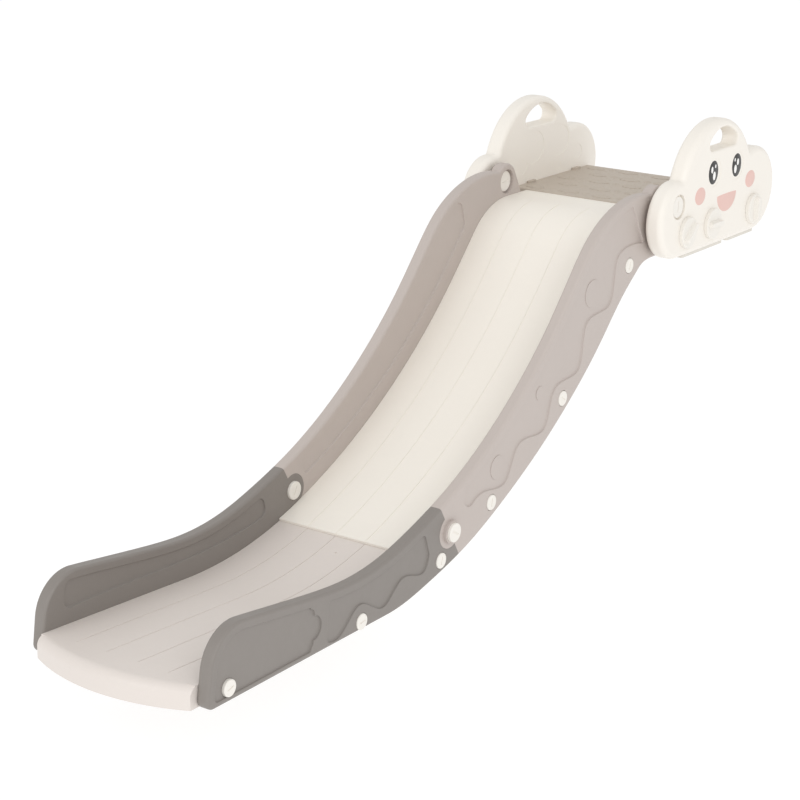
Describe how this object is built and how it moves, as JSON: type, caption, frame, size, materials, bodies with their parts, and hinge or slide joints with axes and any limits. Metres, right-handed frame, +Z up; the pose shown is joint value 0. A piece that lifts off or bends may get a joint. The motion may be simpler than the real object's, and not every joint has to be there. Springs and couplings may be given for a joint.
{
  "type": "toddler slide",
  "caption": "Low indoor slide that hooks a child's curved chute to the edge of a sofa or bed, with a level platform, side boards and cloud-shaped handrails with hand holes.",
  "frame": {"origin": "middle of the platform's flat underside, which rests on the sofa or bed", "axes": "+X to the slide's right side, +Y up the chute towards the platform's rear, +Z up"},
  "size_m": [0.4746, 1.7357, 0.6728],
  "materials": {
    "platform_taupe": "moulded with a fine matt grain and raised cloud-shaped grips",
    "ivory_deck": "smooth satin",
    "warm_grey_deck": "smooth satin",
    "light_taupe": "fine matt grain",
    "dark_taupe": "fine matt grain",
    "cloud_white": "soft satin",
    "cap_white": "satin",
    "pad_rubber": "soft matt"
  },
  "bodies": {
    "seat": {"platform": "platform_taupe", "cloud_left": "cloud_white", "cloud_right": "cloud_white", "grip_pads_left": "pad_rubber", "grip_pads_right": "pad_rubber", "tilt_bolt_left": "cap_white", "tilt_bolt_right": "cap_white", "tilt_nut_left": "cap_white", "tilt_nut_right": "cap_white", "tilt_lock_nut_left": "cap_white", "tilt_lock_nut_right": "cap_white"},
    "chute": {"upper_deck": "ivory_deck", "lower_deck": "warm_grey_deck", "upper_board_left": "light_taupe", "upper_board_right": "light_taupe", "lower_board_left": "dark_taupe", "lower_board_right": "dark_taupe", "lower_screws_left": "cap_white", "lower_screws_right": "cap_white", "upper_screws_left": "cap_white", "upper_screws_right": "cap_white", "section_bolt_left": "cap_white", "section_bolt_right": "cap_white", "section_nut_left": "cap_white", "section_nut_right": "cap_white"},
    "tilt_lock_knob_right": {"tilt_lock_knob_right": "cap_white"},
    "front_knob_right": {"front_knob_right": "cap_white"},
    "rear_knob_right": {"rear_knob_right": "cap_white"},
    "tilt_lock_knob_left": {"tilt_lock_knob_left": "cap_white"},
    "front_knob_left": {"front_knob_left": "cap_white"},
    "rear_knob_left": {"rear_knob_left": "cap_white"}
  },
  "joints": [
    {"name": "chute_tilt", "type": "hinge", "parent": "seat", "child": "chute", "pos_m": [0, -0.2185, 0.105], "axis": [1, 0, 0], "range_deg": [-5, 6]},
    {"name": "tilt_lock_knob_turn_right", "type": "hinge", "parent": "seat", "child": "tilt_lock_knob_right", "pos_m": [0.22, -0.18419, 0.05216], "axis": [1, 0, 0], "continuous": true},
    {"name": "front_knob_turn_right", "type": "hinge", "parent": "seat", "child": "front_knob_right", "pos_m": [0.22, -0.085, 0.052], "axis": [1, 0, 0], "continuous": true},
    {"name": "rear_knob_turn_right", "type": "hinge", "parent": "seat", "child": "rear_knob_right", "pos_m": [0.22, 0.088, 0.052], "axis": [1, 0, 0], "continuous": true},
    {"name": "tilt_lock_knob_turn_left", "type": "hinge", "parent": "seat", "child": "tilt_lock_knob_left", "pos_m": [-0.22, -0.18419, 0.05216], "axis": [-1, 0, 0], "continuous": true},
    {"name": "front_knob_turn_left", "type": "hinge", "parent": "seat", "child": "front_knob_left", "pos_m": [-0.22, -0.085, 0.052], "axis": [-1, 0, 0], "continuous": true},
    {"name": "rear_knob_turn_left", "type": "hinge", "parent": "seat", "child": "rear_knob_left", "pos_m": [-0.22, 0.088, 0.052], "axis": [-1, 0, 0], "continuous": true}
  ]
}
